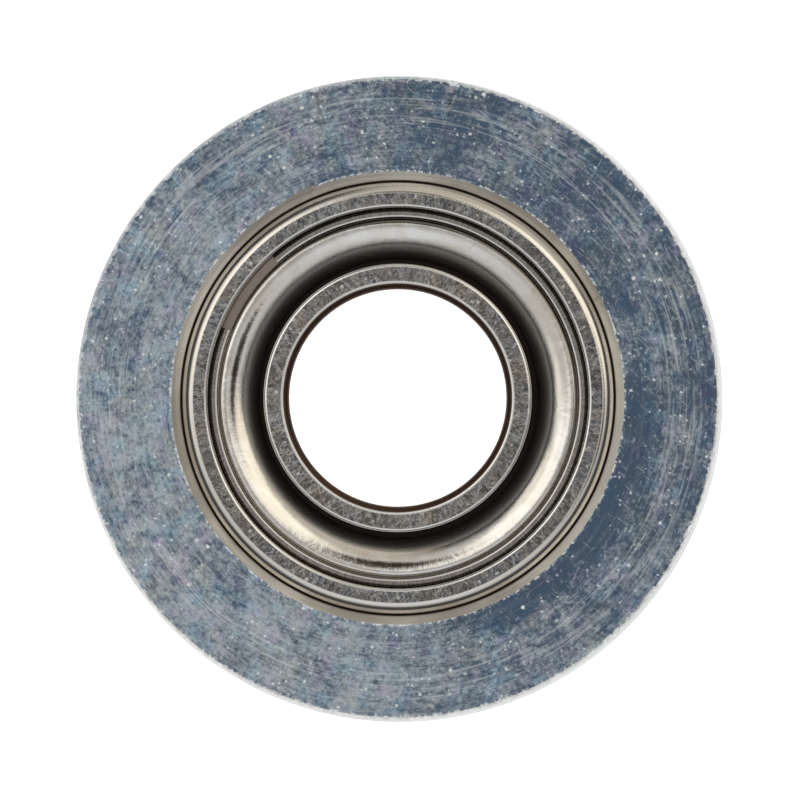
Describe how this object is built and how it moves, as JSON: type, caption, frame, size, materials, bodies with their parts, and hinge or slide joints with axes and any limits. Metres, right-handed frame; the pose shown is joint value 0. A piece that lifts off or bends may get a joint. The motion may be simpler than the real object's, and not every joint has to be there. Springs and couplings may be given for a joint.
{
  "type": "cam follower roller",
  "caption": "Round metal track roller: an aluminium ring with a crowned rim, pressed over a shielded ball bearing with an open bore for a stud.",
  "frame": {"origin": "on the axis of rotation, in the plane of the back faces", "axes": "+Z along the axis of rotation towards the front face, +X to the right and +Y up when the front face is looked at"},
  "size_m": [0.024, 0.024, 0.005],
  "materials": {
    "aluminium": "turned and scratched, blue-grey",
    "ring_steel": "ground, with fine scratches",
    "shield_steel": "polished pressed sheet",
    "snap_steel": "brushed spring steel",
    "ball_steel": "lapped mirror",
    "cage_steel": "pressed sheet with a film of grease"
  },
  "bodies": {
    "stud_side": {"inner_ring": "ring_steel"},
    "wheel": {"roller_ring": "aluminium", "outer_ring": "ring_steel", "shield_front": "shield_steel", "shield_rear": "shield_steel", "snap_ring_front": "snap_steel", "snap_ring_rear": "snap_steel"},
    "cage": {"cage_front": "cage_steel", "cage_rear": "cage_steel", "cage_rivets": "cage_steel"},
    "rolling_ball_01": {"ball_01": "ball_steel"},
    "rolling_ball_02": {"ball_02": "ball_steel"},
    "rolling_ball_03": {"ball_03": "ball_steel"},
    "rolling_ball_04": {"ball_04": "ball_steel"},
    "rolling_ball_05": {"ball_05": "ball_steel"},
    "rolling_ball_06": {"ball_06": "ball_steel"},
    "rolling_ball_07": {"ball_07": "ball_steel"},
    "rolling_ball_08": {"ball_08": "ball_steel"},
    "rolling_ball_09": {"ball_09": "ball_steel"},
    "rolling_ball_10": {"ball_10": "ball_steel"}
  },
  "joints": [
    {"name": "wheel_spin", "type": "hinge", "parent": "stud_side", "child": "wheel", "pos_m": [0, 0, 0.0025], "axis": [0, 0, 1], "continuous": true},
    {"name": "cage_orbit", "type": "hinge", "parent": "stud_side", "child": "cage", "pos_m": [0, 0, 0.0025], "axis": [0, 0, 1], "continuous": true},
    {"name": "ball_01_spin", "type": "hinge", "parent": "cage", "child": "rolling_ball_01", "pos_m": [0.006, 0, 0.0025], "axis": [0, 0, 1], "continuous": true},
    {"name": "ball_02_spin", "type": "hinge", "parent": "cage", "child": "rolling_ball_02", "pos_m": [0.00485, 0.00353, 0.0025], "axis": [0, 0, 1], "continuous": true},
    {"name": "ball_03_spin", "type": "hinge", "parent": "cage", "child": "rolling_ball_03", "pos_m": [0.00185, 0.00571, 0.0025], "axis": [0, 0, 1], "continuous": true},
    {"name": "ball_04_spin", "type": "hinge", "parent": "cage", "child": "rolling_ball_04", "pos_m": [-0.00185, 0.00571, 0.0025], "axis": [0, 0, 1], "continuous": true},
    {"name": "ball_05_spin", "type": "hinge", "parent": "cage", "child": "rolling_ball_05", "pos_m": [-0.00485, 0.00353, 0.0025], "axis": [0, 0, 1], "continuous": true},
    {"name": "ball_06_spin", "type": "hinge", "parent": "cage", "child": "rolling_ball_06", "pos_m": [-0.006, 0, 0.0025], "axis": [0, 0, 1], "continuous": true},
    {"name": "ball_07_spin", "type": "hinge", "parent": "cage", "child": "rolling_ball_07", "pos_m": [-0.00485, -0.00353, 0.0025], "axis": [0, 0, 1], "continuous": true},
    {"name": "ball_08_spin", "type": "hinge", "parent": "cage", "child": "rolling_ball_08", "pos_m": [-0.00185, -0.00571, 0.0025], "axis": [0, 0, 1], "continuous": true},
    {"name": "ball_09_spin", "type": "hinge", "parent": "cage", "child": "rolling_ball_09", "pos_m": [0.00185, -0.00571, 0.0025], "axis": [0, 0, 1], "continuous": true},
    {"name": "ball_10_spin", "type": "hinge", "parent": "cage", "child": "rolling_ball_10", "pos_m": [0.00485, -0.00353, 0.0025], "axis": [0, 0, 1], "continuous": true}
  ],
  "couplings": [
    {"joint": "cage_orbit", "follows": "wheel_spin", "ratio": 0.58333},
    {"joint": "ball_01_spin", "follows": "wheel_spin", "ratio": 2.9167},
    {"joint": "ball_02_spin", "follows": "wheel_spin", "ratio": 2.9167},
    {"joint": "ball_03_spin", "follows": "wheel_spin", "ratio": 2.9167},
    {"joint": "ball_04_spin", "follows": "wheel_spin", "ratio": 2.9167},
    {"joint": "ball_05_spin", "follows": "wheel_spin", "ratio": 2.9167},
    {"joint": "ball_06_spin", "follows": "wheel_spin", "ratio": 2.9167},
    {"joint": "ball_07_spin", "follows": "wheel_spin", "ratio": 2.9167},
    {"joint": "ball_08_spin", "follows": "wheel_spin", "ratio": 2.9167},
    {"joint": "ball_09_spin", "follows": "wheel_spin", "ratio": 2.9167},
    {"joint": "ball_10_spin", "follows": "wheel_spin", "ratio": 2.9167}
  ]
}
